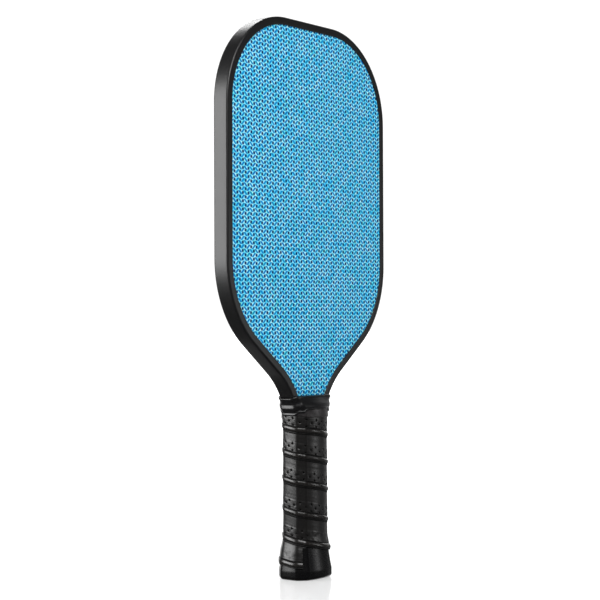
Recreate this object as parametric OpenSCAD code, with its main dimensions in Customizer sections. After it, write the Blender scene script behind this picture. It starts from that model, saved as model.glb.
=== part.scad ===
// Pickleball paddle: a honeycomb panel between two composite face sheets, cut in one piece with a
// tongue that runs down into the handle. A U-channel guard closes the rim, and the handle is two
// shells over the tongue, a stapled butt cap, a cushioned wrap, a finishing tape and a rubber collar.
// X runs across the face, Y through the paddle (the front looks to -Y) and Z up the handle.
// The origin is the middle of the butt's flat end.

/* [Head outline] */
// Half the width of the panel between its straight sides
rim_half_w = 94.5; // [88:0.1:100]
// Height of the panel's top edge above the butt end
rim_top = 406.3; // [395:0.1:420]
// Radius of the two upper corners
corner_r = 66; // [50:0.5:75]
// Height at which the straight sides end
side_low = 231.4; // [220:0.1:250]
// Radius of the two shoulders
shoulder_r = 73.5; // [65:0.1:85]
// Radius of the hollow between the flank and the handle
throat_r = 61.5; // [55:0.1:75]
// Half the width of the tongue inside the handle
tongue_half_w = 12.5; // [11:0.1:12.8]

/* [Panel] */
// Thickness of the honeycomb core
core_t = 10; // [9:0.5:10.5]
// Thickness of each bonding veil
scrim_t = 0.1; // [0.05:0.05:0.2]
// Thickness of each face sheet
face_t = 0.5; // [0.4:0.05:0.8]
// Distance between neighbouring honeycomb cells
cell_pitch = 9.6; // [8:0.1:12]
// Thickness of a honeycomb wall
cell_wall = 0.4; // [0.3:0.05:0.8]
// Width of the band at the core's rim, fused solid when the panel is cut
fused_rim = 0.8; // [0.5:0.1:2]

/* [Edge guard] */
// Thickness of the guard's outer wall
guard_wall = 1.5; // [1.2:0.1:2]
// Thickness of the guard's two lips
lip_t = 0.75; // [0.6:0.05:1]
// How far each lip reaches over the face
lip_reach = 4.2; // [3:0.1:6]
// Radius of the guard's outer corners
guard_corner_r = 2.6; // [1.5:0.1:3]
// Height of the guard's two ends, inside the collar
guard_end = 126; // [124:0.5:130]
// Thickness of the double-sided tape under the guard
bond_tape_t = 0.15; // [0.1:0.05:0.2]
// Width of that tape
bond_tape_w = 9; // [7:0.5:10]

/* [Handle] */
// Width of the bare handle
handle_w = 31; // [31:0.1:34]
// Depth of the bare handle, front to back
handle_d = 17.8; // [17.8:0.1:26]
// Chamfer of the bare handle's corners
handle_chamfer = 3.7; // [3:0.1:3.8]
// Height of the top end of the handle shells
shell_top = 120; // [118:0.5:121]
// Length of the ramp at the shells' top end
ramp_len = 10; // [6:1:14]
// How much the shells step in where the butt cap fits over them
spigot_step = 1.5; // [1.3:0.1:1.6]

/* [Butt cap] */
// Height of the butt cap, up to the end of its sleeve
cap_h = 32; // [30:1:40]
// Height of the flare's upper shoulder
flare_top = 24; // [20:0.5:26]
// Height of the flare's widest section
flare_widest = 6.5; // [5:0.5:10]
// How far the widest section stands out from the wrapped handle
flare_out = 3; // [2:0.1:5]
// How far the shoulder stands out from the wrapped handle
shoulder_out = 0.8; // [0.3:0.1:1.5]
// Thickness of the cap's end wall
cap_floor = 3; // [2:0.5:4]
// Rounding of the cap's lower edge
cap_round = 2.6; // [1:0.1:3]

/* [Grip] */
// Thickness of the cushioned felt backing
backing_t = 0.9; // [0.6:0.1:1.4]
// Thickness of the perforated outer tape
wrap_t = 0.75; // [0.5:0.05:1]
// Thickness of the finishing tape
finish_t = 0.2; // [0.15:0.05:0.3]
// Height of the finishing tape's lower edge
finish_low = 114; // [110:0.5:116]
// Height of the collar's lower edge
collar_low = 119; // [117:0.5:121]
// Height of the collar's upper edge
collar_top = 133.5; // [130:0.5:138]
// Thickness of the collar's rubber
collar_t = 1.1; // [0.8:0.1:1.6]

/* [Staples] */
// Width of a staple
staple_w = 9; // [7:0.5:10]
// Diameter of the staple wire
wire_d = 0.7; // [0.5:0.1:0.8]
// Length of a staple's legs
staple_leg = 2.8; // [2:0.1:3]
// Height of the staples
staple_z = 28; // [27:0.5:30]

/* [Hidden] */
$fn = 128;
gap = 0.05;   // glue line, or fitting gap, between two pieces
far = 500;    // longer than anything in the paddle
bite = 0.01;  // how far the outline's straight edges stay inside its arcs, so that they fuse
slice = 0.01; // thickness of the sections that a tapered shape is stretched between
staple_fit = 0.02;  // clearance round a staple
ramp_edge = 0.6;    // thickness that the shells' ramp thins down to

// slope of the flank below each shoulder: 3-4-5, so that its two ends fall on round numbers
flank_angle = atan2(4, 3);

// panel thickness, from the middle plane out
face_in = core_t / 2 + scrim_t;
panel_half_t = face_in + face_t;
guard_half_d = panel_half_t + gap + lip_t;

// centres of the outline's arcs, right-hand side, as [across, up]
corner = [rim_half_w - corner_r, rim_top - corner_r];
shoulder = [rim_half_w - shoulder_r, side_low];
flank_normal = [cos(flank_angle), -sin(flank_angle)];
flank_high = shoulder + shoulder_r * flank_normal;
throat_x = tongue_half_w + throat_r;
throat_z = flank_high.y
    + ((throat_x - flank_high.x) * cos(flank_angle) - throat_r) / sin(flank_angle);
throat = [throat_x, throat_z];
flank_low = throat - throat_r * flank_normal;
tongue_low = cap_floor + 2 * gap;

// sizes of the wrapped handle, layer by layer, measured from the bare handle outwards
backing_out = backing_t + gap;
wrap_out = backing_out + wrap_t + gap;
finish_out = wrap_out + finish_t + gap;
collar_in = finish_out + gap;
wrap_low = flare_top + gap;

// profile of the butt's flare from the flat end up, as [height, stand-out from the wrapped handle]
flare = concat(
    [for (a = [0:30:90]) [cap_round * (1 - cos(a)), flare_out - cap_round * (1 - sin(a))]],
    [[flare_widest, flare_out], [flare_top, shoulder_out]]
);

// the collar's flat upper mouth goes round the guard at the neck
neck_half_w = throat.x - sqrt(pow(throat_r, 2) - pow(collar_top - throat.y, 2)) + guard_wall;
collar_bend = collar_low + 3;   // height where the collar starts to change shape
collar_mouth_r = 3;             // corner radius of its mouth

// ---- shapes --------------------------------------------------------------------------------

// Stands a drawing up in the plane of the face, from depth y_low, t thick
module slab(y_low, t) {
    translate([0, y_low + t, 0]) rotate([90, 0, 0]) linear_extrude(t) children();
}

// Both of a pair of mirrored discs, stood up like a slab
module disc_pair(centre, r, y_low, t) {
    for (side = [-1, 1]) slab(y_low, t) translate([side * centre.x, centre.y]) circle(r);
}

// Plate with the panel's outline grown outwards by g, from depth y_low, t thick, above height low
module plate(y_low, t, g = 0, low = tongue_low) {
    half = [
        corner + (corner_r + g - bite) * [0, 1],
        corner + (corner_r + g - bite) * [1, 0],
        shoulder + (shoulder_r + g - bite) * [1, 0],
        shoulder + (shoulder_r + g - bite) * flank_normal,
        throat - (throat_r - g - bite) * flank_normal,
        throat - (throat_r - g - bite) * [1, 0],
        [tongue_half_w + g, low - g]
    ];
    mirrored = [for (i = [len(half) - 1:-1:0]) [-half[i].x, half[i].y]];
    difference() {
        union() {
            slab(y_low, t) polygon(concat(half, mirrored));
            disc_pair(corner, corner_r + g, y_low, t);
            disc_pair(shoulder, shoulder_r + g, y_low, t);
        }
        disc_pair(throat, throat_r - g, y_low - 1, t + 2);
    }
}

// Sweeps a section along the rim, from one side of the neck over the top to the other.
// The section's x is the distance outwards from the rim and its y is the depth.
module along_rim(end_height) {
    turn = flank_angle - asin((end_height - throat.y) / throat_r);
    flank_len = norm(flank_high - flank_low);
    rotate([90, 0, 0]) {
        translate([-corner.x, rim_top, 0]) rotate([90, 0, 90]) linear_extrude(2 * corner.x) children();
        for (side = [0, 1]) mirror([side, 0, 0]) {
            translate(corner) rotate_extrude(angle = 90) translate([corner_r, 0]) children();
            translate([rim_half_w, corner.y, 0]) rotate([90, 0, 0])
                linear_extrude(corner.y - side_low) children();
            // a quarter turn, cut off where the straight side starts, meets that side exactly
            translate(shoulder) intersection() {
                rotate(-flank_angle) rotate_extrude(angle = 90) translate([shoulder_r, 0]) children();
                translate([0, -far, -far / 2]) cube(far);
            }
            translate(flank_high) rotate(-flank_angle) rotate([90, 0, 0])
                linear_extrude(flank_len) children();
            translate(throat) rotate(180 - flank_angle) rotate_extrude(angle = turn)
                translate([throat_r, 0]) mirror([1, 0]) children();
        }
    }
}

// Octagonal handle section, out by t from the bare handle on every side
module octagon(t = 0) {
    w = handle_w / 2 + t;
    d = handle_d / 2 + t;
    c = handle_chamfer + t * (2 - sqrt(2));
    polygon([
        [w - c, -d], [w, -d + c], [w, d - c], [w - c, d],
        [-w + c, d], [-w, d - c], [-w, -d + c], [-w + c, -d]
    ]);
}

// Straight prism on the handle section, from height low to height high
module prism(low, high, t = 0) {
    translate([0, 0, low]) linear_extrude(high - low) octagon(t);
}

// Hollow sleeve round the handle
module sleeve(low, high, t_in, t_out) {
    difference() {
        prism(low, high, t_out);
        prism(low - 1, high + 1, t_in);
    }
}

// Space that one staple takes up, grown by g, on the front of the handle
module staple(g = 0) {
    r = wire_d / 2 + g;
    reach = staple_w / 2 - wire_d / 2;
    y_crown = -handle_d / 2 + wire_d / 2;
    translate([0, y_crown, staple_z]) {
        translate([-reach, 0, 0]) rotate([0, 90, 0]) cylinder(r = r, h = 2 * reach, $fn = 24);
        for (side = [-1, 1]) translate([side * reach, 0, 0]) {
            sphere(r, $fn = 24);
            rotate([-90, 0, 0]) cylinder(r = r, h = staple_leg + g, $fn = 24);
        }
    }
}

// Both staples, front and back
module staples(g = 0) {
    staple(g);
    mirror([0, 1, 0]) staple(g);
}

// ---- panel -----------------------------------------------------------------------------------

module honeycomb_core() {
    row = cell_pitch * sqrt(3) / 2;
    cell_r = (cell_pitch - cell_wall) / sqrt(3);
    across = floor(rim_half_w / cell_pitch) + 1;
    up = floor(rim_top / row) + 1;
    through = core_t / 2 + 1;
    color("ivory") difference() {
        plate(-core_t / 2, core_t);
        intersection() {
            plate(-through, 2 * through, -fused_rim);
            slab(-through, 2 * through) for (j = [0:up], i = [-across:across])
                translate([(i + (j % 2) / 2) * cell_pitch, j * row])
                    rotate(30) circle(cell_r, $fn = 6);
        }
    }
}

module front_scrim() {
    color("whitesmoke") plate(-face_in, scrim_t);
}

module back_scrim() {
    color("whitesmoke") plate(core_t / 2, scrim_t);
}

module front_face_sheet() {
    color("deepskyblue") plate(-panel_half_t, face_t);
}

module back_face_sheet() {
    color("deepskyblue") plate(face_in, face_t);
}

// ---- rim -------------------------------------------------------------------------------------

module edge_bond_tape() {
    color("gainsboro") along_rim(guard_end)
        translate([gap / 2, -bond_tape_w / 2]) square([bond_tape_t, bond_tape_w]);
}

// Section of the guard: a rounded outer wall and two lips over the faces
module guard_section() {
    mouth = guard_half_d - lip_t;
    lip_end = -lip_reach + lip_t / 2;
    flat = guard_wall - guard_corner_r;
    difference() {
        union() {
            translate([lip_end, -guard_half_d]) square([flat - lip_end, 2 * guard_half_d]);
            translate([flat, -guard_half_d + guard_corner_r])
                square([guard_corner_r, 2 * (guard_half_d - guard_corner_r)]);
            for (side = [-1, 1])
                translate([flat, side * (guard_half_d - guard_corner_r)]) circle(guard_corner_r);
        }
        translate([-far, -mouth]) square([far + bond_tape_t + gap, 2 * mouth]);
    }
    for (side = [-1, 1])
        translate([lip_end, side * (guard_half_d - lip_t / 2)]) circle(lip_t / 2);
}

module edge_guard() {
    color([0.16, 0.16, 0.17]) along_rim(guard_end) guard_section();
}

// ---- handle ----------------------------------------------------------------------------------

// Front half of the handle, hollowed for the tongue and the flare of the panel above it
module handle_half() {
    ramp_foot = panel_half_t + gap + ramp_edge;
    wall_top = shell_top - ramp_len;
    difference() {
        union() {
            prism(cap_h + gap, shell_top);
            prism(tongue_low, cap_h + gap, -spigot_step);
        }
        plate(-panel_half_t - gap, far, gap, low = -far);
        translate([-far / 2, -gap / 2, -far / 2]) cube(far);
        translate([-far / 2, -panel_half_t - gap, wall_top]) cube(far);
        translate([-far / 2, 0, 0]) rotate([90, 0, 90]) linear_extrude(far) polygon([
            [-handle_d / 2, wall_top], [-ramp_foot, shell_top],
            [-ramp_foot, far], [-far, far], [-far, wall_top]
        ]);
        staples(staple_fit);
    }
}

module handle_shell_front() {
    color("burlywood") handle_half();
}

module handle_shell_back() {
    color("burlywood") mirror([0, 1, 0]) handle_half();
}

module butt_cap() {
    color([0.09, 0.09, 0.1]) difference() {
        union() {
            prism(flare_top - 1, cap_h);
            for (i = [1:len(flare) - 1]) hull() {
                translate([0, 0, flare[i - 1].x]) linear_extrude(slice) octagon(wrap_out + flare[i - 1].y);
                translate([0, 0, flare[i].x - slice]) linear_extrude(slice) octagon(wrap_out + flare[i].y);
            }
        }
        prism(cap_floor, cap_h + 1, gap - spigot_step);
        staples(staple_fit);
    }
}

module butt_cap_staples() {
    color("silver") staples();
}

// ---- grip ------------------------------------------------------------------------------------

module grip_backing() {
    color("dimgray") sleeve(wrap_low, shell_top - ramp_len, gap, backing_out);
}

module grip_wrap() {
    color([0.13, 0.13, 0.13]) sleeve(wrap_low, collar_low + 1, backing_out + gap, wrap_out);
}

module finishing_tape() {
    color([0.2, 0.2, 0.21]) sleeve(finish_low, collar_low + 1, wrap_out + gap, finish_out);
}

// Solid that follows the collar's shape, out by t from its inner face and longer by over at each
// end: the handle's octagon at the bottom and the flat neck of the head at the top
module collar_form(t, over) {
    hull() {
        translate([0, 0, collar_bend]) linear_extrude(slice) octagon(collar_in + t);
        translate([0, 0, collar_top + over]) linear_extrude(slice) for (x = [-1, 1], y = [-1, 1])
            translate([x * (neck_half_w + gap + t - collar_mouth_r),
                       y * (guard_half_d + gap + t - collar_mouth_r)])
                circle(collar_mouth_r, $fn = 32);
    }
    prism(collar_low - over, collar_bend + slice, collar_in + t);
}

module grip_collar() {
    color([0.05, 0.05, 0.05]) difference() {
        collar_form(collar_t, 0);
        collar_form(0, 1);
    }
}

honeycomb_core();
front_scrim();
back_scrim();
front_face_sheet();
back_face_sheet();
edge_bond_tape();
edge_guard();
handle_shell_front();
handle_shell_back();
butt_cap();
butt_cap_staples();
grip_backing();
grip_wrap();
finishing_tape();
grip_collar();
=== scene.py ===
"""Looks of a pickleball paddle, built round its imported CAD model.

X runs across the face, Y runs through the paddle with the front at -Y, and Z runs up the handle.
Everything is in metres. The shapes are worked out in millimetres and scaled when a mesh is made.
"""

import math

import bpy
import numpy as np
from mathutils import Matrix, Vector


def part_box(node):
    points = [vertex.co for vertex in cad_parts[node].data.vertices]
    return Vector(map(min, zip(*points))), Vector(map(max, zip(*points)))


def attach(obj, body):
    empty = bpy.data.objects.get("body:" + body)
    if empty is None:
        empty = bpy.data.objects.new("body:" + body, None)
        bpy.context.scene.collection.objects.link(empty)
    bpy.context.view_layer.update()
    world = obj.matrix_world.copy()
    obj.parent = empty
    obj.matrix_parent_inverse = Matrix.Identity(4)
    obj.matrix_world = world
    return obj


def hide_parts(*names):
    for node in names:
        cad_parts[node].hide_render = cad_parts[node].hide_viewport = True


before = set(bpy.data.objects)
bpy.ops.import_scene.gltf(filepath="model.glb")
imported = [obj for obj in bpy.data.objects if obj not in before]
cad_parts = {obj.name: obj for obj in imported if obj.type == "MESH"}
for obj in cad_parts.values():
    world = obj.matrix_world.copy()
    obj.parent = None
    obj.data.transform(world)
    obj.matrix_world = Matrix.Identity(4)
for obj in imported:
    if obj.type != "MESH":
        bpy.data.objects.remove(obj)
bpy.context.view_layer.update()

MM = 0.001


def box_mm(node):
    """Lowest and highest corners of a CAD node, in millimetres."""
    low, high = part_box(node)
    return np.array(low) / MM, np.array(high) / MM


face_high = box_mm("front_face_sheet")[1]
guard_low, guard_high = box_mm("edge_guard")
wrap_high = box_mm("grip_wrap")[1]
finish_high = box_mm("finishing_tape")[1]
collar_low, collar_high = box_mm("grip_collar")
cap_high = box_mm("butt_cap")[1]

# ---- the outline of the panel ------------------------------------------------------------------

RIM_HALF_W = face_high[0]
RIM_TOP = face_high[2]
CORNER_R = 66.0                       # the two top corners
SHOULDER_R = 73.5                     # the curve from a side to a flank
THROAT_R = 61.5                       # the hollow curve from a flank to the tongue
SIDE_LOW = 231.4                      # height where the straight sides end
THROAT_Z = 102.4                      # height where the hollow curves meet the tongue
TONGUE_HALF_W = 12.5
FLANK_ANGLE = math.atan2(4, 3)        # how far below level a flank faces
GUARD_END = guard_low[2] + 0.6        # height of the guard's two ends


def arc(centre, radius, start, end, steps):
    """Points and outward normals of an arc between two angles. A negative radius makes a hollow."""
    angles = np.linspace(start, end, steps)
    normals = np.stack([np.cos(angles), np.sin(angles)], -1)
    return np.array(centre) + radius * normals, normals


def rim_path():
    """Points across and up, and outward normals, along the rim from one side of the neck, over the
    top, to the other."""
    corner = (RIM_HALF_W - CORNER_R, RIM_TOP - CORNER_R)
    shoulder = (RIM_HALF_W - SHOULDER_R, SIDE_LOW)
    throat = (TONGUE_HALF_W + THROAT_R, THROAT_Z)
    neck_angle = -math.asin((GUARD_END - THROAT_Z) / THROAT_R)
    top = np.linspace([0, RIM_TOP], [corner[0], RIM_TOP], 6)[:-1]
    side = np.linspace([RIM_HALF_W, corner[1]], [RIM_HALF_W, SIDE_LOW], 22)[1:-1]
    corner_arc = arc(corner, CORNER_R, math.pi / 2, 0, 40)
    shoulder_arc = arc(shoulder, SHOULDER_R, 0, -FLANK_ANGLE, 26)
    throat_arc = arc(throat, -THROAT_R, -FLANK_ANGLE, neck_angle, 16)
    flank = np.linspace(shoulder_arc[0][-1], throat_arc[0][0], 10)[1:-1]
    flank_normal = np.tile(shoulder_arc[1][-1], (len(flank), 1))
    points = np.concatenate([top, corner_arc[0], side, shoulder_arc[0], flank, throat_arc[0]])
    normals = np.concatenate([
        np.tile([0.0, 1.0], (len(top), 1)), corner_arc[1],
        np.tile([1.0, 0.0], (len(side), 1)), shoulder_arc[1], flank_normal, throat_arc[1],
    ])
    flip = np.array([-1.0, 1.0])
    return (
        np.concatenate([points[:0:-1] * flip, points]),
        np.concatenate([normals[:0:-1] * flip, normals]),
    )


# ---- rings round the handle --------------------------------------------------------------------

FLAT_STEPS, SIDE_STEPS, CHAMFER_STEPS, ARC_STEPS = 68, 32, 18, 3
BARE_HALF_W = 15.5                    # half the width of the two handle shells
BARE_CHAMFER = 3.7                    # their chamfer
CHAMFER_GROWTH = 2 - math.sqrt(2)     # how much a chamfer widens when the octagon grows by 1


def ring_steps(share=1.0):
    """Mesh steps along the eight edges, from the front-left chamfer anticlockwise."""
    flat, side, chamfer = (
        max(2, int(steps * share) // 2 * 2) for steps in (FLAT_STEPS, SIDE_STEPS, CHAMFER_STEPS)
    )
    return [chamfer, flat, chamfer, side, chamfer, flat, chamfer, side]


def octagon_ring(half_w, half_d, chamfer, round_r, crown=0.0, steps=None):
    """Points and outward normals round an octagon with rounded corners and crowned facets.
    It starts in the middle of the front-left chamfer and runs anticlockwise, seen from above."""
    steps = steps or ring_steps()
    w, d = half_w - round_r, half_d - round_r
    c = max(chamfer - round_r * CHAMFER_GROWTH, 0.01)
    corners = np.array([
        (-w + c, -d), (w - c, -d), (w, -d + c), (w, d - c),
        (w - c, d), (-w + c, d), (-w, d - c), (-w, -d + c),
    ])
    points, normals = [], []
    for k, count in enumerate(steps):
        facing = math.radians(225 + 45 * k)
        t = np.arange(count)[:, None] / count
        n = np.array([[math.cos(facing), math.sin(facing)]])
        length = np.linalg.norm(corners[k] - corners[k - 1])
        bulge = crown * (length / 20) ** 2 * (1 - (2 * t - 1) ** 2) * (k % 2)
        points.append(corners[k - 1] * (1 - t) + corners[k] * t + (round_r + bulge) * n)
        normals.append(np.tile(n, (count, 1)))
        turn = facing + math.radians(45) * np.arange(ARC_STEPS) / ARC_STEPS
        n = np.stack([np.cos(turn), np.sin(turn)], -1)
        points.append(corners[k] + round_r * n)
        normals.append(n)
    shift = -(steps[0] // 2)
    return (
        np.roll(np.concatenate(points), shift, axis=0),
        np.roll(np.concatenate(normals), shift, axis=0),
    )


def ring_lengths(points):
    """Distance along the ring to each of its points, and the whole length."""
    edges = np.linalg.norm(np.roll(points, -1, axis=0) - points, axis=1)
    return np.concatenate([[0], np.cumsum(edges)[:-1]]), edges.sum()


# ---- meshes ------------------------------------------------------------------------------------

def make_object(name, points_mm, faces, material, node, attributes=None):
    """A smooth-shaded piece from points in millimetres, which stands for a CAD node."""
    mesh = bpy.data.meshes.new(name)
    mesh.from_pydata((np.asarray(points_mm) * MM).tolist(), [], faces)
    mesh.polygons.foreach_set("use_smooth", [True] * len(mesh.polygons))
    for key, values in (attributes or {}).items():
        layer = mesh.attributes.new(key, "FLOAT", "POINT")
        layer.data.foreach_set("value", np.asarray(values, np.float32))
    mesh.materials.append(material)
    mesh.validate()
    mesh.update()
    piece = bpy.data.objects.new(name, mesh)
    bpy.context.scene.collection.objects.link(piece)
    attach(piece, "root")
    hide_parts(node)
    return piece


def tube_faces(rows, columns, closed=False):
    """Quads between rows of closed rings, facing outwards when the rows go up. A closed tube also
    joins its last row to its first."""
    r, c = np.mgrid[0:rows if closed else rows - 1, 0:columns]
    right = (c + 1) % columns
    above = (r + 1) % rows
    quads = [r * columns + c, r * columns + right, above * columns + right, above * columns + c]
    return np.stack(quads, -1).reshape(-1, 4).tolist()


# ---- materials ---------------------------------------------------------------------------------

class Nodes:
    """Short forms for building one material's node tree."""

    def __init__(self, name):
        self.material = bpy.data.materials.new(name)
        self.material.use_nodes = True
        self.tree = self.material.node_tree
        self.surface = self.tree.nodes["Principled BSDF"]
        self.position = self.add("ShaderNodeTexCoord").outputs["Object"]

    def add(self, kind, **settings):
        node = self.tree.nodes.new(kind)
        for key, value in settings.items():
            setattr(node, key, value)
        return node

    def put(self, value, socket):
        """Links an output to a socket, or sets the socket's value."""
        if isinstance(value, bpy.types.NodeSocket):
            self.tree.links.new(value, socket)
        else:
            socket.default_value = value

    def math(self, operation, a, b=0.0, c=0.0):
        node = self.add("ShaderNodeMath", operation=operation)
        for value, socket in zip((a, b, c), node.inputs):
            self.put(value, socket)
        return node.outputs[0]

    def ramp(self, value, low, high):
        """Goes smoothly from 0 at low to 1 at high. Low may be the larger of the two."""
        node = self.add("ShaderNodeMapRange", interpolation_type="SMOOTHSTEP")
        self.put(value, node.inputs["Value"])
        node.inputs["From Min"].default_value = low
        node.inputs["From Max"].default_value = high
        return node.outputs["Result"]

    def between(self, value, low, high):
        """Maps 0..1 to low..high."""
        return self.math("MULTIPLY_ADD", value, high - low, low)

    def mix(self, share, a, b, blend="MIX"):
        node = self.add("ShaderNodeMix", data_type="RGBA", blend_type=blend)
        self.put(share, node.inputs[0])
        self.put(a, node.inputs[6])
        self.put(b, node.inputs[7])
        return node.outputs[2]

    def scaled(self, factors):
        """The object's position with each axis stretched."""
        node = self.add("ShaderNodeVectorMath", operation="MULTIPLY")
        self.put(self.position, node.inputs[0])
        node.inputs[1].default_value = factors
        return node.outputs[0]

    def noise(self, scale, detail=2.0, vector=None, roughness=0.5):
        node = self.add("ShaderNodeTexNoise")
        self.put(vector or self.position, node.inputs["Vector"])
        node.inputs["Scale"].default_value = scale
        node.inputs["Detail"].default_value = detail
        node.inputs["Roughness"].default_value = roughness
        return node.outputs["Fac"]

    def cells(self, scale):
        node = self.add("ShaderNodeTexVoronoi")
        self.put(self.position, node.inputs["Vector"])
        node.inputs["Scale"].default_value = scale
        return node.outputs["Distance"]

    def attribute(self, name):
        return self.add("ShaderNodeAttribute", attribute_name=name).outputs["Fac"]

    def bump(self, height, distance, strength):
        node = self.add("ShaderNodeBump")
        node.inputs["Strength"].default_value = strength
        node.inputs["Distance"].default_value = distance
        self.put(height, node.inputs["Height"])
        self.put(node.outputs[0], self.surface.inputs["Normal"])

    def finish(self, color, roughness, **inputs):
        """Sets the surface's colour and roughness, and any other inputs by name."""
        self.put(color, self.surface.inputs["Base Color"])
        self.put(roughness, self.surface.inputs["Roughness"])
        for key, value in inputs.items():
            self.put(value, self.surface.inputs[key.replace("_", " ")])
        return self.material


def rgb(red, green, blue):
    """A linear colour from screen values of 0 to 255."""
    def linear(v):
        v /= 255
        return v / 12.92 if v <= 0.04045 else ((v + 0.055) / 1.055) ** 2.4
    return (linear(red), linear(green), linear(blue), 1.0)


WEAVE_X, WEAVE_Z = 3.084, 2.888       # half a repeat of the weave across and up the face
WEAVE_TILT = 0.0077                   # how far the weave leans in one row, in half repeats
STRAND_SLANT = 0.95                   # how far a strand runs across in one row, in half repeats
ROW_AT_BASE = 102.2                   # number of the row at height 0; rows are counted downwards
STRAND_AT_MIDDLE = 15.33              # number of the half repeat at the middle of the face
WAVER = 0.06                          # how far the strands stray, in half repeats
GAP_REACH = (0.98, 1.36)              # distances from a gap's middle over which it fades out
GREENISH = (0.75, 1.0)                # chances between which a strand turns greener


def weave_material():
    """Woven strands under clear resin: rows of slanted light and blue strands, with a dark gap at
    the head of each group, leaning the other way in every second row."""
    n = Nodes("woven_face")
    split = n.add("ShaderNodeSeparateXYZ")
    n.put(n.position, split.inputs[0])
    waver = n.between(n.noise(60, 1), -WAVER, WAVER)
    row = n.math("MULTIPLY_ADD", split.outputs["Z"], -1 / (WEAVE_Z * MM), ROW_AT_BASE)
    row = n.math("ADD", row, waver)
    across = n.math("MULTIPLY_ADD", split.outputs["X"], 1 / (WEAVE_X * MM), STRAND_AT_MIDDLE)
    across = n.math("ADD", n.math("MULTIPLY_ADD", row, WEAVE_TILT, across), waver)
    row_index = n.math("ROUND", row)
    up = n.math("SUBTRACT", row_index, row)
    odd = n.math("FLOORED_MODULO", row_index, 2)
    lean = n.math("MULTIPLY", n.math("MULTIPLY_ADD", odd, 2, -1), STRAND_SLANT)
    slanted = n.math("SUBTRACT", n.math("SUBTRACT", across, odd), n.math("MULTIPLY", up, lean))
    phase = n.math("FRACT", n.math("MULTIPLY", slanted, 0.5))
    group = n.math("FLOOR", n.math("MULTIPLY", slanted, 0.5))
    from_blue = n.math("ABSOLUTE", n.math("SUBTRACT", phase, 0.5))

    which = n.add("ShaderNodeCombineXYZ")
    stroke = n.math("FLOOR", n.math("MULTIPLY_ADD", phase, 4, 0.5))
    n.put(n.math("MULTIPLY_ADD", group, 4, stroke), which.inputs[0])
    n.put(row_index, which.inputs[1])
    random = n.add("ShaderNodeTexWhiteNoise", noise_dimensions="2D")
    n.put(which.outputs[0], random.inputs["Vector"])
    chance = random.outputs["Value"]
    shade = n.add("ShaderNodeSeparateColor")
    n.put(random.outputs["Color"], shade.inputs[0])

    light = n.mix(chance, rgb(70, 222, 255), rgb(186, 250, 255))
    greenish = n.ramp(shade.outputs[1], *GREENISH)
    light = n.mix(greenish, light, rgb(120, 240, 236))
    blue = n.mix(chance, rgb(0, 112, 196), rgb(0, 150, 220))
    blue = n.mix(greenish, blue, rgb(0, 146, 196))
    from_row = n.math("ABSOLUTE", up)
    lit = n.math("MULTIPLY", n.ramp(from_blue, 0.16, 0.22), n.ramp(from_row, 0.56, 0.47))
    strand = n.mix(lit, blue, light)

    near_x = n.math("FRACT", n.math("MULTIPLY_ADD", n.math("SUBTRACT", across, odd), 0.5, 0.5))
    near_x = n.math("MULTIPLY", n.math("SUBTRACT", near_x, 0.5), 2 * WEAVE_X)
    near_z = n.math("MULTIPLY", up, WEAVE_Z)
    reach = n.math("SQRT", n.math("ADD", n.math("POWER", near_x, 2), n.math("POWER", near_z, 2)))
    gap = n.math("SUBTRACT", 1.0, n.ramp(reach, *GAP_REACH))
    fine = n.noise(1500, 2, roughness=0.6)
    color = n.mix(n.math("MULTIPLY", gap, 0.96), strand, rgb(0, 12, 92))
    color = n.mix(0.3, color, n.mix(fine, (0.5, 0.5, 0.5, 1), (1, 1, 1, 1)), "MULTIPLY")

    ridge = n.math("COSINE", n.math("MULTIPLY", phase, 6 * math.pi))
    height = n.math("SUBTRACT", n.math("MULTIPLY", ridge, -0.3), gap)
    n.bump(n.math("MULTIPLY_ADD", fine, 0.3, height), 0.00006, 0.5)
    rough = n.between(n.noise(25, 3), 0.42, 0.55)
    return n.finish(color, rough, Specular_IOR_Level=0.06)


def shaded(color, factor, lift=0.0):
    """A colour made lighter or darker."""
    return tuple(c * factor + lift for c in color[:3]) + (1,)


def plastic_material(name, color, rough_low, rough_high, grain=2500.0, depth=0.00002, specular=0.5):
    """Moulded plastic or rubber: a fine grain, faint cloudiness and a little rubbed dust."""
    n = Nodes(name)
    cloud = n.noise(40, 4, roughness=0.6)
    dust = n.ramp(n.noise(260, 5, roughness=0.7), 0.55, 0.85)
    tint = n.mix(cloud, shaded(color, 0.85), shaded(color, 1.2))
    tint = n.mix(n.math("MULTIPLY", dust, 0.25), tint, shaded(color, 1.9, 0.004))
    fine = n.noise(grain, 2)
    n.bump(fine, depth, 0.6)
    rough = n.math("MULTIPLY_ADD", fine, 0.06, n.between(cloud, rough_low, rough_high - 0.06))
    return n.finish(tint, rough, Specular_IOR_Level=specular)


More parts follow.
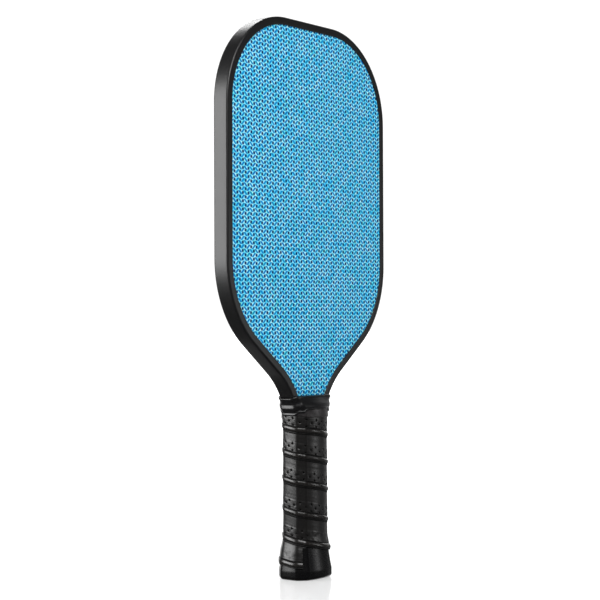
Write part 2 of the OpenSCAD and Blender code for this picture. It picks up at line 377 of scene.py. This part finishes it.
def grip_material():
    """Soft synthetic leather: fine pores, smoother on the ribs that hands rub, a painted highlight
    that makes the raised ribs paler, and painted shade that makes the holes and grooves dark. The
    tape's mesh carries its relief and its pits as attributes."""
    n = Nodes("grip_leather")
    relief = n.attribute("relief")
    pit = n.attribute("pit")
    cloud = n.noise(55, 4, roughness=0.6)
    pores = n.cells(2200)
    streaks = n.noise(160, 4, n.scaled((0.5, 0.5, 9)), 0.6)
    color = n.mix(cloud, rgb(11, 10, 10), rgb(17, 15, 14))
    # painted highlight: the tape is made paler where its relief stands higher, most on the ribs
    color = n.mix(n.math("MULTIPLY", n.ramp(relief, 0.2, 0.6), 0.5), color, rgb(27, 24, 22))
    color = n.mix(n.ramp(streaks, 0.55, 0.75), color, rgb(9, 9, 9))
    # painted shade: holes and grooves made near black, rougher and with less shine
    color = n.mix(pit, color, rgb(2, 2, 2))
    height = n.math("MULTIPLY_ADD", streaks, 1.5, n.math("MULTIPLY", pores, 0.5))
    n.bump(height, 0.00004, 0.4)
    rough = n.math("MULTIPLY_ADD", n.ramp(relief, 0.2, 0.5), -0.05, n.between(cloud, 0.28, 0.37))
    rough = n.math("MULTIPLY_ADD", pit, 0.4, rough)
    specular = n.math("MULTIPLY_ADD", pit, -0.5, 0.5)
    return n.finish(color, rough, Specular_IOR_Level=specular)


def wood_material():
    """Milled basswood: pale, with long faint grain up the handle."""
    n = Nodes("handle_wood")
    grain = n.noise(30, 6, n.scaled((8, 8, 0.6)), 0.65)
    color = n.mix(n.ramp(grain, 0.3, 0.7), rgb(198, 168, 128), rgb(221, 197, 160))
    n.bump(grain, 0.0001, 0.4)
    return n.finish(color, n.between(grain, 0.55, 0.75))


def fibre_material(name, dark, pale, scale):
    """Felt or veil: crossed fibres with a soft sheen."""
    n = Nodes(name)
    one = n.noise(scale, 4, n.scaled((1, 1, 0.15)), 0.7)
    two = n.noise(scale, 4, n.scaled((0.15, 1, 1)), 0.7)
    fibres = n.math("MAXIMUM", one, two)
    n.bump(fibres, 0.0002, 0.6)
    return n.finish(n.mix(n.ramp(fibres, 0.4, 0.7), dark, pale), 0.9, Sheen_Weight=0.3)


def core_material():
    """Milky polypropylene of the honeycomb's walls."""
    n = Nodes("core_polymer")
    cloud = n.noise(120, 3)
    n.bump(n.noise(900, 3), 0.00005, 0.5)
    color = n.mix(cloud, rgb(226, 224, 216), rgb(240, 239, 233))
    return n.finish(color, n.between(cloud, 0.4, 0.55), Subsurface_Weight=0.15)


def steel_material():
    """Bright staple wire with fine drawing lines."""
    n = Nodes("staple_steel")
    lines = n.noise(900, 3, n.scaled((0.1, 1, 1)))
    n.bump(lines, 0.00002, 0.4)
    color = n.mix(lines, rgb(196, 196, 200), rgb(222, 222, 226))
    return n.finish(color, n.between(lines, 0.22, 0.38), Metallic=1.0)


def dress(node, material):
    """Gives a CAD node that stays its material."""
    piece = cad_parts[node]
    piece.data.materials.clear()
    piece.data.materials.append(material)


# ---- edge guard --------------------------------------------------------------------------------

GUARD_WALL = guard_high[0] - RIM_HALF_W
LIP_T = 0.75                          # thickness of the two lips
LIP_REACH = 4.2                       # how far they lie over the faces
GUARD_CORNER_R = 1.4
WALL_CROWN = 0.06                     # how far the middle of the outer wall bulges
CHANNEL_FLOOR = 0.2                   # the channel's floor stands this far outside the panel's rim
CHANNEL_DRAFT = 0.15                  # how much the floor is narrower than the mouth, on each side


def guard_profile():
    """Closed section of the guard as distance outside the rim and depth, back lip first."""
    half_d = guard_high[1]
    mouth = half_d - LIP_T
    lip_r = LIP_T / 2
    lip_centre = -LIP_REACH + lip_r
    bend = GUARD_WALL - GUARD_CORNER_R
    back_lip = arc((lip_centre, half_d - lip_r), lip_r, math.radians(270), math.radians(90), 7)[0]
    back_flat = np.linspace([lip_centre, half_d], [bend, half_d], 5)[1:-1]
    back_corner = arc((bend, half_d - GUARD_CORNER_R), GUARD_CORNER_R, math.pi / 2, 0, 11)[0]
    wall = np.linspace(back_corner[-1], back_corner[-1] * [1, 0], 4)[1:]
    outside = np.concatenate([back_lip, back_flat, back_corner, wall])
    # the outer wall is very slightly crowned, as an extrusion bent round a rim comes out
    outside[-3:, 0] += WALL_CROWN * np.linspace(0.5, 1, 3)
    floor_end = mouth - CHANNEL_DRAFT
    channel = np.array([[CHANNEL_FLOOR, -floor_end], [CHANNEL_FLOOR, floor_end]])
    mirrored = outside[-2::-1] * [1, -1]
    return np.concatenate([outside, mirrored, channel])


def build_guard(material):
    """The guard's section swept along the rim, with both ends closed."""
    path, normals = rim_path()
    profile = guard_profile()
    across = path[:, None, :] + normals[:, None, :] * profile[None, :, :1]
    depth = np.broadcast_to(profile[None, :, 1], across.shape[:2])
    points = np.stack([across[..., 0], depth, across[..., 1]], -1)
    rows, columns = points.shape[:2]
    faces = [face[::-1] for face in tube_faces(rows, columns)]
    faces.append(list(range(columns)))
    faces.append(list(range((rows - 1) * columns, rows * columns))[::-1])
    return make_object(
        "edge_guard_shell", points.reshape(-1, 3), faces, material, "edge_guard"
    )


# ---- butt cap ----------------------------------------------------------------------------------

FOOT_EXTRA = 0.4                      # how much fuller the foot is than the CAD's
FLARE_OUT = cap_high[0] - wrap_high[0] + FOOT_EXTRA
FLARE_WIDEST = 6.5                    # height up to which the cap keeps its full width
FLARE_TOP = 24.0                      # height where the flare ends
SHOULDER_OUT = 0.8                    # how far the flare stands out at its top
CAP_ROUND = 2.6                       # radius of the foot's edge
SOLE_HOLLOW = 0.25                    # how far the middle of the sole stands off the floor
NECK_OUT = -1.75                      # the neck under the wrap, against the wrapped handle
WRAP_CHAMFER = BARE_CHAMFER + CHAMFER_GROWTH * (wrap_high[0] - BARE_HALF_W)


def flare(z):
    """How far the butt cap stands out from the wrapped handle at height z."""
    bottom = np.clip(1 - z / CAP_ROUND, 0, 1)
    rounding = CAP_ROUND * (1 - np.sqrt(1 - bottom ** 2))
    rise = np.clip((z - FLARE_WIDEST) / (FLARE_TOP - FLARE_WIDEST), 0, 1)
    swell = rise * (1.25 - 0.25 * rise)
    return FLARE_OUT - rounding + (SHOULDER_OUT - FLARE_OUT) * swell


def wrapped_ring(out, round_r, crown=0.0, steps=None):
    """Ring on the wrapped handle's section, out by a distance."""
    return octagon_ring(
        wrap_high[0] + out, wrap_high[1] + out, WRAP_CHAMFER + CHAMFER_GROWTH * out,
        round_r, crown, steps,
    )


def build_cap(material):
    """The flared cap: rounded foot, crowned facets, and a neck that goes up under the wrap."""
    steps = ring_steps(0.6)
    foot = CAP_ROUND * (1 - np.cos(np.linspace(0, math.pi / 2, 9)))
    heights = np.concatenate([foot, np.linspace(CAP_ROUND, FLARE_TOP, 26)[1:]])
    rings = []
    sole, _ = wrapped_ring(flare(0.0), 1.0, 0.2, steps)
    for inset, z in ((0.2, SOLE_HOLLOW), (0.6, SOLE_HOLLOW), (0.93, 0.0)):
        rings.append(np.column_stack([sole * inset, np.full(len(sole), z)]))
    for z in heights:
        soften = 1.5 + 2.5 * min(z / CAP_ROUND, 1)
        ring, _ = wrapped_ring(float(flare(z)), soften, 1.0, steps)
        rings.append(np.column_stack([ring, np.full(len(ring), z)]))
    neck = ((0.1, FLARE_TOP + 0.8), (NECK_OUT, FLARE_TOP + 1.0), (NECK_OUT, cap_high[2]))
    for out, z in neck:
        ring, _ = wrapped_ring(out, 1.5, 0.0, steps)
        rings.append(np.column_stack([ring, np.full(len(ring), z)]))
    points = np.concatenate(rings)
    columns = len(rings[0])
    faces = tube_faces(len(rings), columns)
    faces.append(list(range(columns))[::-1])
    faces.append(list(range((len(rings) - 1) * columns, len(rings) * columns)))
    return make_object("butt_cap_shell", points, faces, material, "butt_cap")


# ---- grip wrap ---------------------------------------------------------------------------------

# The tape's lower edge as measured in the photo: (turns from its cut end, height). The tape climbs
# clockwise, seen from above, from its cut end on the front-left chamfer.
TAPE_EDGE = [
    (0.0, 8.6), (0.09, 9.8), (0.84, 21.6), (1.09, 26.8), (1.84, 42.3), (2.09, 46.8),
    (2.84, 65.0), (3.09, 69.0), (3.84, 84.4), (4.09, 88.7), (4.84, 104.5), (5.09, 107.0),
    (5.84, 122.5), (6.84, 142.0),
]
EDGE_W = 0.9                          # width of the thin strip at the tape's lower edge
RIB_W = 3.6                           # width of the rolled rib above that strip
RIB_H = 0.48                          # height of that rib
PERFORATED_TO = 12.0                  # height above the edge where the perforated band ends
HOLE_ROWS = 2.5                       # distance between the three rows of holes
HOLE_MIDDLE = 8.3                     # height of the middle row above the edge
# Holes of the outer rows, counted along the tape: (turns, count). The tape's stretch varies. The
# places come from the holes seen in the photo, put on the handle with the solved camera.
HOLE_COUNT = [
    (0.0, 0), (1.077, 14), (1.745, 24), (1.839, 25), (2.100, 28), (2.798, 39), (2.892, 40),
    (3.081, 42), (3.785, 53), (3.879, 54), (4.069, 56), (4.872, 68), (4.967, 69), (5.063, 70),
    (5.9, 82), (6.9, 96),
]
HOLE_R = 0.62
HOLE_RIM = 0.12                       # half the width of a hole's sloping wall
HOLE_DEPTH = 0.40
TAPE_T = 0.75                         # thickness of the tape
LAY = 0.50                            # the smooth tape against the CAD sleeve's surface
CAP_BLEND = 11.0                      # height over which the tape comes down off the cap's flare
TOP_EXTRA = 0.35                      # how much thicker the wrap is at its top
TOP_FROM, TOP_RISE = 109.0, 8.0       # height where it starts to thicken, and over how much
TURNS_TO_TOP = 5.9                    # turns of tape from the cut end to the collar
MIN_EDGE = 1e-4                       # faces with a side shorter than this have collapsed


def tape_edge(turns):
    """Height of the tape's lower edge after some turns, with its kinks rounded off."""
    knots = np.array(TAPE_EDGE)
    spread = np.linspace(-0.07, 0.07, 7)
    return np.mean([np.interp(turns + s, knots[:, 0], knots[:, 1]) for s in spread], axis=0)


def creases(along, up):
    """Small stretch marks that run along the tape."""
    rng = np.random.default_rng(7)
    total = np.zeros_like(along)
    for _ in range(9):
        wave_up = rng.uniform(0.9, 3.2)
        wave_along = rng.uniform(14, 60)
        phase = rng.uniform(0, 2 * math.pi, 2)
        sway = 0.8 * np.sin(2 * math.pi * along / wave_along + phase[0])
        total += np.sin(2 * math.pi * up / wave_up + sway + phase[1]) / 9
    return total


def hole_count(along):
    """Number of the hole at a distance along the tape, and the spacing of the holes there."""
    knots = np.array(HOLE_COUNT)
    turns = along / WRAP_LENGTH
    step = 0.01
    ahead, behind = (np.interp(turns + d, knots[:, 0], knots[:, 1]) for d in (step, -step))
    return np.interp(turns, knots[:, 0], knots[:, 1]), 2 * step * WRAP_LENGTH / (ahead - behind)


def tape_relief(along, up, pitch):
    """Height of the tape's surface above the plain handle, at a distance along the tape and a
    height above the edge of the turn that covers it. Also how deep in a hole or a groove each point
    lies, from 0 to 1."""
    share = np.clip(up / pitch, 0, 1)
    lay = 0.22 * (1 - share) ** 0.8
    rib = np.clip(1 - ((up - EDGE_W - RIB_W / 2) / (RIB_W / 2)) ** 2, 0, None)
    height = lay + RIB_H * rib ** 0.85 * (1 + 0.12 * np.sin(along / 5.3) + 0.1 * np.sin(along / 2.1))
    grooves = ((0.0, 0.30), (EDGE_W, 0.22), (EDGE_W + RIB_W + 0.1, 0.32), (pitch, 0.30))
    for edge, depth in grooves:
        height -= depth * np.exp(-(((up - edge) / 0.31) ** 2))
    border = PERFORATED_TO + 0.25 * np.sin(along / 6.0)
    height -= 0.10 / (1 + np.exp(-(up - border) / 0.15))
    height -= 0.05 * np.exp(-(((up - border - 2.4) / 0.35) ** 2))
    height += 0.035 * creases(along, up) * (1 + 0.7 * (up > border))

    pit = np.zeros_like(height)
    count, pitch_along = hole_count(along)
    for row in (-1, 0, 1):
        number = count + 0.5 * (row == 0)
        beside = (number - np.round(number)) * pitch_along
        reach = np.hypot(beside, up - HOLE_MIDDLE - row * HOLE_ROWS)
        pit = np.maximum(pit, np.clip((HOLE_R + HOLE_RIM - reach) / (2 * HOLE_RIM), 0, 1))
        height -= 0.10 * np.exp(-((reach / (HOLE_R * 2.0)) ** 2))
    pit *= along > 0.95 * WRAP_LENGTH
    height -= HOLE_DEPTH * pit
    groove = np.clip(sum(np.exp(-(((up - edge) / 0.35) ** 2)) for edge, _ in grooves), 0, 1)
    return height, np.clip(pit + 0.85 * groove, 0, 1)


def handle_base(z):
    """How far the surface under the tape stands out from the plain handle at height z."""
    over_cap = flare(z) + TAPE_T * 0.9
    share = np.clip((z - (FLARE_TOP - 3.0)) / CAP_BLEND, 0, 1)
    share = share * share * (3 - 2 * share)
    thicker = TOP_EXTRA * np.clip((z - TOP_FROM) / TOP_RISE, 0, 1)
    return over_cap * (1 - share) + thicker


def wrap_ring():
    """Ring under the tape's relief. Its corners are soft and its facets are a little bulged."""
    return wrapped_ring(0.0, 3.1, 1.2)


WRAP_LENGTH = ring_lengths(wrap_ring()[0])[1]


def build_wrap(material):
    """One long tape wound up the handle. Its mesh follows the tape, so that each turn's upper side
    joins the next turn's lower edge."""
    ring, normals = wrap_ring()
    lengths, round_length = ring_lengths(ring)
    columns = len(ring)
    top = wrap_high[2]
    count = int(TURNS_TO_TOP * columns)
    total = count + columns
    i = np.arange(total)
    index = (-i) % columns
    along_turn = np.where(index == 0, 0.0, round_length - lengths[index])
    along = ((i // columns) * round_length + along_turn)[:, None]
    turns = along[:, 0] / round_length
    low = tape_edge(turns)[:, None]
    high = tape_edge(turns + 1)[:, None]
    pitch = high - low
    fine = np.sort(np.concatenate([
        np.linspace(0, 0.28, 22, endpoint=False), np.linspace(0.28, 0.62, 20, endpoint=False),
        np.linspace(0.62, 1.0, 10, endpoint=False),
    ]))
    up = pitch * fine[None, :]
    z = np.minimum(low + up, top)
    # where a turn starts above the top edge, its points take the shape of the turn below it
    use_low = np.where(low > top, tape_edge(turns - 1)[:, None], low)
    use_high = np.where(low > top, low, high)
    use_along = np.where(low > top, along - round_length, along)
    height, pit = tape_relief(
        use_along + np.zeros_like(up), z - use_low, use_high - use_low + np.zeros_like(up)
    )
    out = handle_base(z) + height + LAY
    flat_points = ring[index][:, None, :] + normals[index][:, None, :] * out[..., None]
    points = np.concatenate([flat_points, z[..., None]], -1)

    rows = len(fine)
    grid_i, grid_j = np.mgrid[0:count, 0:rows]
    above = np.where(grid_j + 1 < rows, grid_i * rows + grid_j + 1, (grid_i + columns) * rows)
    beside = (grid_i + 1) * rows + grid_j
    beside_above = np.where(
        grid_j + 1 < rows, (grid_i + 1) * rows + grid_j + 1, (grid_i + 1 + columns) * rows
    )
    here = grid_i * rows + grid_j
    quads = np.stack([here, above, beside_above, beside], -1).reshape(-1, 4)
    limit = total * rows
    quads = quads[(quads < limit).all(1)]
    # faces that the top edge has squashed flat are left out
    points = points.reshape(-1, 3)
    corner = points[quads]
    tall = np.linalg.norm(corner[:, 0] - corner[:, 1], axis=1) > MIN_EDGE
    tall |= np.linalg.norm(corner[:, 3] - corner[:, 2], axis=1) > MIN_EDGE
    quads = quads[tall]
    used = np.unique(quads)
    renumber = np.zeros(limit, int)
    renumber[used] = np.arange(len(used))
    piece = make_object(
        "grip_wrap_tape", points[used], renumber[quads].tolist(), material, "grip_wrap",
        {"relief": height.reshape(-1)[used], "pit": pit.reshape(-1)[used]},
    )
    turn_edges_in(piece, TAPE_T)
    return piece


def turn_edges_in(piece, thickness_mm):
    """Gives a sheet's open edges a wall that goes inwards, so that the sheet looks thick."""
    solid = piece.modifiers.new("thickness", "SOLIDIFY")
    solid.thickness = thickness_mm * MM
    solid.offset = -1
    solid.use_rim_only = True
    apply_modifiers(piece)


def apply_modifiers(piece):
    """Bakes a piece's modifiers into its mesh."""
    graph = bpy.context.evaluated_depsgraph_get()
    mesh = bpy.data.meshes.new_from_object(piece.evaluated_get(graph))
    piece.modifiers.clear()
    piece.data = mesh


# ---- finishing tape and collar -----------------------------------------------------------------

# Height of the finishing tape's lower edge, by share of the way round from the front-left chamfer
FINISH_EDGE = [
    (0.0, 119.2), (0.05, 118.0), (0.33, 117.4), (0.5, 115.0), (0.78, 116.5), (0.84, 119.6),
    (1.0, 119.2),
]
BAND_LIFT = 0.9                       # how far the wrap's relief holds the band off the CAD's sleeve
BAND_T = 0.42                         # thickness of the band outside that


def build_finish(material):
    """Smooth band round the wrap's top end, with faint pull marks. It goes up under the collar. The
    rib of the tape's last turn comes through it at the right side and the back."""
    steps = ring_steps(0.7)
    top = collar_low[2] + 7
    edge = np.array(FINISH_EDGE)
    rings = []
    section = [(0.0, -BAND_LIFT), (0.0, 0.22), (0.04, BAND_T)]
    section += [(share, BAND_T) for share in np.linspace(0.1, 1.0, 10)] + [(1.0, -BAND_LIFT)]
    for share, out in section:
        ring, normals = wrapped_ring(out + BAND_LIFT, 3.1, 1.2, steps)
        lengths, whole = ring_lengths(ring)
        pull = 0.08 * np.sin(lengths / 2.7 + 6 * share) * np.sin(lengths / 6.1) * (out > 0)
        ring = ring + normals * pull[:, None]
        low = np.interp(lengths / whole, edge[:, 0], edge[:, 1])
        rings.append(np.column_stack([ring, low + share * (top - low)]))
    points = np.concatenate(rings)
    faces = tube_faces(len(rings), len(rings[0]), closed=True)
    return make_object(
        "finishing_tape_band", points, faces, material, "finishing_tape"
    )


COLLAR_FRONT_RISE = 4.6               # how much higher the lower lip sits on the flat front and back
COLLAR_SIDE_DROP = 1.7                # how much lower the upper lip sits at the sides
COLLAR_OUT = (1.35, 1.25)             # its lower end outside the CAD's band, across and through
COLLAR_OVER_GUARD = 1.6               # its upper end outside the guard, through the paddle
COLLAR_CHAMFER = (5.6, 2.6)           # chamfer at the lower and the upper end
COLLAR_ROUND = (4.5, 3.6)             # radius of its corners at the lower and the upper end
COLLAR_CROWN = 1.1                    # crown of its facets at the lower end
CREASE_H = 0.14                       # height of the crease over each corner
# The sides above the lower lip, as (share of the height, distance outside the lower width)
COLLAR_SIDE = [
    (0.0, 0.0), (0.2, 0.2), (0.38, 1.2), (0.52, 1.17), (0.66, 1.10), (0.84, 2.0), (1.0, 2.5),
]


def build_collar(material):
    """Rubber collar: an octagon below, the flat neck above, and a rolled lip at each end. It bulges
    over the tape's end and is creased where it stretches over the corners. The section runs up the
    outside and down the inside."""
    side = np.array(COLLAR_SIDE)
    steps = ring_steps(0.8)
    half_w_low, half_d_low = finish_high[:2] + COLLAR_OUT
    half_w_top, half_d_top = collar_high[0], guard_high[1] + COLLAR_OVER_GUARD
    low_lip = [
        (0.0, 0.0), (0.012, 0.24), (0.035, 0.38), (0.075, 0.43), (0.11, 0.32), (0.14, 0.12),
        (0.17, 0.02),
    ]
    sleeve = [(share, 0.0) for share in np.linspace(0.2, 0.8, 15)]
    high_lip = [(0.84, 0.04), (0.87, 0.18), (0.90, 0.36), (0.94, 0.44), (0.975, 0.36), (1.0, 0.05)]
    inside = [(1.0, -1.0), (0.6, -1.1), (0.25, -1.1), (0.0, -0.9)]
    spread = (-0.06, -0.03, 0, 0.03, 0.06)
    rings = []
    for share, out in low_lip + sleeve + high_lip + inside:
        blend = np.clip((share - 0.15) / 0.85, 0, 1)
        belly = math.sin(math.pi * share)
        soft = np.mean([np.interp(share + s, side[:, 0], side[:, 1]) for s in spread])
        half_w = half_w_low + soft * (half_w_top - half_w_low) / COLLAR_SIDE[-1][1] + out
        half_d = half_d_low + (half_d_top - half_d_low) * blend + 0.4 * belly + out
        chamfer = COLLAR_CHAMFER[0] * (1 - blend) + COLLAR_CHAMFER[1] * blend + CHAMFER_GROWTH * out
        round_r = COLLAR_ROUND[0] * (1 - blend) + COLLAR_ROUND[1] * blend
        crown = COLLAR_CROWN * (1 - blend)
        ring, normals = octagon_ring(half_w, half_d, chamfer, round_r, crown, steps)
        from_corner = np.degrees(np.arcsin(np.abs(normals[:, 1]))) - 62
        crease = CREASE_H * np.exp(-((from_corner / 8) ** 2)) * belly * (out > -0.5)
        ring = ring + normals * crease[:, None]
        front = np.abs(normals[:, 1]) ** 2
        low = collar_low[2] + COLLAR_FRONT_RISE * front
        high = collar_high[2] - COLLAR_SIDE_DROP * (1 - front) + 0.3 * front
        rings.append(np.column_stack([ring, low + (high - low) * share]))
    points = np.concatenate(rings)
    faces = tube_faces(len(rings), len(rings[0]), closed=True)
    return make_object("grip_collar_sleeve", points, faces, material, "grip_collar")


# ---- stage -------------------------------------------------------------------------------------

CAMERA_AT = Vector((-0.9352, -0.7030, 0.1854))
CAMERA_FORWARD = Vector((0.79758, 0.60301, 0.01568))
CAMERA_ROLL = math.radians(-0.215)
LENS = 95.16


def build_camera():
    """Long lens at the height of the grip, to the front and left of the paddle."""
    data = bpy.data.cameras.new("camera")
    data.lens = LENS
    data.sensor_width = 36
    data.clip_start = 0.05
    camera = bpy.data.objects.new("camera", data)
    bpy.context.scene.collection.objects.link(camera)
    turn = CAMERA_FORWARD.to_track_quat("-Z", "Y").to_matrix().to_4x4()
    camera.matrix_world = Matrix.Translation(CAMERA_AT) @ turn @ Matrix.Rotation(CAMERA_ROLL, 4, "Z")
    bpy.context.scene.camera = camera


def area_light(name, place, target, size, power):
    """White rectangular softbox that looks at a point and is hidden from the camera."""
    data = bpy.data.lights.new(name, "AREA")
    data.shape = "RECTANGLE"
    data.size, data.size_y = size
    data.energy = power
    light = bpy.data.objects.new(name, data)
    light.location = place
    light.rotation_mode = "QUATERNION"
    light.rotation_quaternion = (Vector(target) - Vector(place)).to_track_quat("-Z", "Y")
    light.visible_camera = False
    bpy.context.scene.collection.objects.link(light)


ROOM_LEVEL = 0.10
BACKDROP_LEVEL = 1.1
BACKDROP_EDGE = (0.66, 0.80)          # cosines of the angles where the backdrop starts and is full


def build_world():
    """White to the camera. Other rays meet a dim room with a white backdrop behind the paddle."""
    world = bpy.data.worlds.new("studio")
    bpy.context.scene.world = world
    world.use_nodes = True
    tree = world.node_tree
    background = tree.nodes["Background"]
    background.inputs["Color"].default_value = (1, 1, 1, 1)
    direction = tree.nodes.new("ShaderNodeTexCoord").outputs["Generated"]
    ahead = tree.nodes.new("ShaderNodeVectorMath")
    ahead.operation = "DOT_PRODUCT"
    ahead.inputs[1].default_value = CAMERA_FORWARD
    tree.links.new(direction, ahead.inputs[0])
    backdrop = tree.nodes.new("ShaderNodeMapRange")
    backdrop.interpolation_type = "SMOOTHSTEP"
    settings = {
        "From Min": BACKDROP_EDGE[0], "From Max": BACKDROP_EDGE[1],
        "To Min": ROOM_LEVEL, "To Max": BACKDROP_LEVEL,
    }
    for key, value in settings.items():
        backdrop.inputs[key].default_value = value
    tree.links.new(ahead.outputs["Value"], backdrop.inputs["Value"])
    pick = tree.nodes.new("ShaderNodeMix")
    pick.data_type = "FLOAT"
    pick.inputs[3].default_value = BACKDROP_LEVEL
    tree.links.new(tree.nodes.new("ShaderNodeLightPath").outputs["Is Camera Ray"], pick.inputs[0])
    tree.links.new(backdrop.outputs["Result"], pick.inputs[2])
    tree.links.new(pick.outputs[0], background.inputs["Strength"])


FLOOR_GLOW = (0.295, 1.0)             # glow that the camera sees, near the paddle and far off
FLOOR_FADE = (0.10, 0.9)              # distances from the paddle between which it changes


def build_floor():
    """Plain pale floor that doesn't show in the paddle's reflections. Away from the paddle the
    camera sees it fade to the white of the backdrop."""
    size = 30.0
    mesh = bpy.data.meshes.new("floor")
    mesh.from_pydata(
        [(-size, -size, 0), (size, -size, 0), (size, size, 0), (-size, size, 0)], [], [(0, 1, 2, 3)]
    )
    floor = bpy.data.objects.new("floor", mesh)
    floor.location.z = -0.0002
    bpy.context.scene.collection.objects.link(floor)
    n = Nodes("pale_floor")
    reach = n.add("ShaderNodeVectorMath", operation="LENGTH")
    n.put(n.position, reach.inputs[0])
    seen = n.add("ShaderNodeLightPath").outputs["Is Camera Ray"]
    far = n.ramp(reach.outputs["Value"], *FLOOR_FADE)
    glow = n.math("MULTIPLY", seen, n.between(far, *FLOOR_GLOW))
    mesh.materials.append(n.finish(
        n.mix(n.noise(3, 2), (0.88, 0.88, 0.88, 1), (0.9, 0.9, 0.9, 1)), 0.12,
        Emission_Color=(1, 1, 1, 1), Emission_Strength=glow,
    ))
    floor.visible_glossy = False


def build_lights():
    """A softbox on the guard's left wall, small lights for the grip's right edge and the top-right
    corner, and two fills."""
    centre = (0, 0, 0.22)
    area_light("side_softbox", (-1.05, 0.79, 0.44), centre, (0.55, 0.85), 14.8)
    area_light("right_strip", (0.95, -1.04, 0.16), (0, 0, 0.1), (0.15, 0.34), 1.15)
    area_light("corner_glint", (0.62, 0.78, 1.22), (0, 0, 0.38), (0.3, 0.3), 2.6)
    area_light("far_fill", (1.25, 0.35, 0.55), centre, (0.5, 0.8), 5)
    area_light("front_fill", (-0.75, -1.0, 1.25), centre, (1.0, 1.0), 25)


# ---- the paddle --------------------------------------------------------------------------------

def build_paddle():
    """Dresses the CAD nodes that stay, and builds the five finer pieces that replace the rest."""
    weave = weave_material()
    dress("front_face_sheet", weave)
    dress("back_face_sheet", weave)
    veil = fibre_material("bonding_veil", rgb(214, 214, 210), rgb(240, 240, 238), 800)
    dress("front_scrim", veil)
    dress("back_scrim", veil)
    dress("honeycomb_core", core_material())
    tape = plastic_material("bond_tape", rgb(226, 226, 220), 0.5, 0.7)
    dress("edge_bond_tape", tape)
    wood = wood_material()
    dress("handle_shell_front", wood)
    dress("handle_shell_back", wood)
    dress("butt_cap_staples", steel_material())
    felt = fibre_material("grip_felt", rgb(60, 60, 60), rgb(96, 96, 94), 500)
    dress("grip_backing", felt)

    build_guard(plastic_material("guard_plastic", rgb(13, 13, 14), 0.34, 0.44))
    build_cap(plastic_material(
        "cap_plastic", rgb(9, 9, 10), 0.24, 0.31, grain=1800, depth=0.00003, specular=0.2
    ))
    build_wrap(grip_material())
    build_finish(plastic_material("finish_tape", rgb(32, 29, 30), 0.32, 0.42))
    build_collar(plastic_material("collar_rubber", rgb(8, 8, 10), 0.30, 0.38))


build_paddle()
build_floor()
build_world()
build_lights()
build_camera()
bpy.context.scene.view_settings.view_transform = "Standard"
